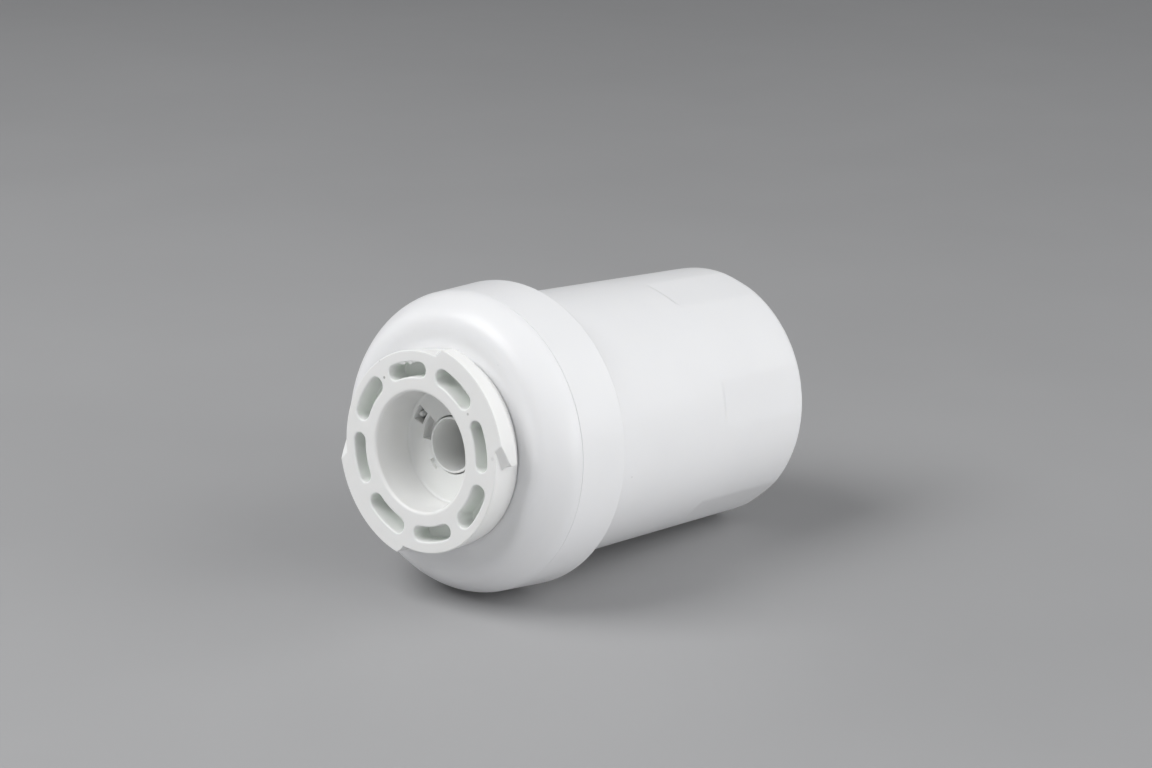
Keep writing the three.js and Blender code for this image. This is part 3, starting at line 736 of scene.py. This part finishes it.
# ------------------------------------------------------------------ pieces
sump = make_sump()
head_cap = make_head_cap()
neck = make_neck()
flash = make_flash()
plate = make_port_plate()
plate.data.set_sharp_from_angle(angle=math.radians(40))
tube = make_tube()
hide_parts("sump")
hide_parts("head_cap")
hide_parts("bayonet_neck")
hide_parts("port_plate")
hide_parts("outlet_tube")

# Each dark spot: its place, its size in mm and how dark it is
shell_specks = [
    (place(29.0, 325.2, 9.0), 0.30, 0.5), (place(30.5, 221.0, 9.0), 0.28, 0.55),
    (place(34.1, 259.9, 41.5), 0.25, 0.4),
]
# On the neck, the first two spots are painted shade: they stand in for the shadows of two tiny moulding dots
# between the pockets
neck_specks_and_dot_shade = [
    (place(20.8, 38.1, 0), 0.42, 0.8), (place(19.9, 309.4, 0), 0.42, 0.5),
    (place(25.0, 36.2, 0), 0.3, 0.35), (place(24.2, 277.7, 0), 0.6, 0.15),
]
white_shell = white_plastic(
    "white_shell", (0.85, 0.853, 0.862), (0.835, 0.838, 0.848), 0.35, shell_specks, gloss=0.42)
white_neck = white_plastic("white_neck", (0.87, 0.87, 0.862), (0.855, 0.858, 0.845), 0.38, neck_specks_and_dot_shade)
white_inner = white_plastic("white_inner", (0.86, 0.865, 0.852), (0.84, 0.85, 0.835), 0.38)
pocket = pocket_plastic()
black = rubber()
glue = hot_melt()

dress(sump, "white_shell", white_shell)
dress(head_cap, "white_shell", white_shell)
dress(neck, "neck_plastic", white_neck, pocket)
dress(flash, "neck_plastic", white_neck)
dress(plate, "neck_plastic", white_inner)
dress(tube, "inner_plastic", white_inner)
carried = {
    "weld_bead": white_shell, "neck_gasket": black, "neck_lock_ring": white_inner,
    "tube_seal_front": black, "tube_seal_rear": black, "block_cap_front": white_inner,
    "block_cap_rear": white_inner, "glue_ring_front": glue, "glue_ring_rear": glue,
    "carbon_block": carbon(), "prefilter_wrap": fleece("prefilter_fleece", (0.80, 0.80, 0.78)),
    "outer_netting": netting(), "net_band_front": white_inner, "net_band_rear": white_inner,
    "core_tube": white_inner, "core_wrap": fleece("core_fleece", (0.78, 0.78, 0.76)),
    "rear_cushion": foam(),
}
for name, material in carried.items():
    nodes[name].data.materials.clear()
    nodes[name].data.materials.append(material)

# ------------------------------------------------------------------ floor, light and camera
# The cartridge rests on its collar and its rear end, so the floor is tilted in the part's frame
FLOOR_SLOPE, FLOOR_LEVEL_Y, FLOOR_HALF, FLOOR_CELLS = 0.0708, -0.0246, 6.0, 8
floor_mesh = bpy.data.meshes.new("floor")
grid = np.linspace(-FLOOR_HALF, FLOOR_HALF, FLOOR_CELLS + 1)
corners = [(x, y, 0.0) for y in grid for x in grid]
starts = [j * len(grid) + i for j in range(FLOOR_CELLS) for i in range(FLOOR_CELLS)]
quads = [(k, k + 1, k + 1 + len(grid), k + len(grid)) for k in starts]
floor_mesh.from_pydata(corners, [], quads)
floor = bpy.data.objects.new("floor", floor_mesh)
bpy.context.scene.collection.objects.link(floor)
tilt = Matrix.Rotation(math.atan(FLOOR_SLOPE), 4, "X")
floor.matrix_world = Matrix.Translation((0, FLOOR_LEVEL_Y, 0)) @ tilt
s = Shader("floor_paper")
s.link(s.mix(s.ramp(s.noise(0.004, 3), 0.3, 0.7, 0.0, 1.0), (0.375, 0.375, 0.38), (0.395, 0.395, 0.40)),
       s.bsdf.inputs["Base Color"])
s.link(s.ramp(s.noise(0.02, 3), 0.3, 0.7, 0.55, 0.65), s.bsdf.inputs["Roughness"])
s.link(s.bump(s.noise(1.2, 4), 0.01), s.bsdf.inputs["Normal"])
floor_mesh.materials.append(s.material)

TARGET = Vector((0, 0, 0.036))


def softbox(name, direction, distance, width, height, power):
    """Rectangular light in this direction from the cartridge, facing it."""
    light = bpy.data.lights.new(name, "AREA")
    light.shape = "RECTANGLE"
    light.size, light.size_y = width, height
    light.energy = power
    obj = bpy.data.objects.new(name, light)
    bpy.context.scene.collection.objects.link(obj)
    direction = Vector(direction).normalized()
    obj.location = TARGET + direction * distance
    obj.rotation_euler = direction.to_track_quat("Z", "Y").to_euler()


softbox("left_box", (-0.30, -0.62, 0.73), 1.2, 0.75, 0.7, 9.9)
softbox("left_low", (-0.90, -0.35, 0.30), 1.5, 1.2, 1.0, 3.0)
softbox("front_low", (0.40, -0.90, 0.08), 1.6, 1.0, 0.5, 1.2)
softbox("front_fill", (0.62, -0.65, 0.45), 1.6, 1.0, 0.8, 1.5)
softbox("right_side", (0.98, 0.05, 0.15), 1.6, 1.0, 0.8, 7.8)
softbox("right_strip", (0.78, -0.24, 0.55), 1.2, 0.08, 0.7, 0.6)
softbox("right_rear", (0.75, 0.45, 0.50), 1.6, 1.6, 1.4, 11.8)

world = bpy.data.worlds.new("studio")
world.use_nodes = True
background = world.node_tree.nodes["Background"]
background.inputs["Color"].default_value = (0.95, 0.97, 1.0, 1)
background.inputs["Strength"].default_value = 0.19
bpy.context.scene.world = world

camera_data = bpy.data.cameras.new("camera")
camera_data.sensor_width = 36
camera_data.lens = 99.73
camera = bpy.data.objects.new("camera", camera_data)
bpy.context.scene.collection.objects.link(camera)
right = Vector((0.75507, 0.65357, 0.05213))
forward = Vector((-0.62882, 0.74440, -0.22463)).normalized()
upward = right.cross(forward).normalized()
right = forward.cross(upward)
camera.matrix_world = Matrix((
    (right.x, upward.x, -forward.x, 0.516486),
    (right.y, upward.y, -forward.y, -0.610015),
    (right.z, upward.z, -forward.z, 0.232321),
    (0, 0, 0, 1),
))
bpy.context.scene.camera = camera
bpy.context.scene.view_settings.view_transform = "Standard"

bpy.context.view_layer.update()
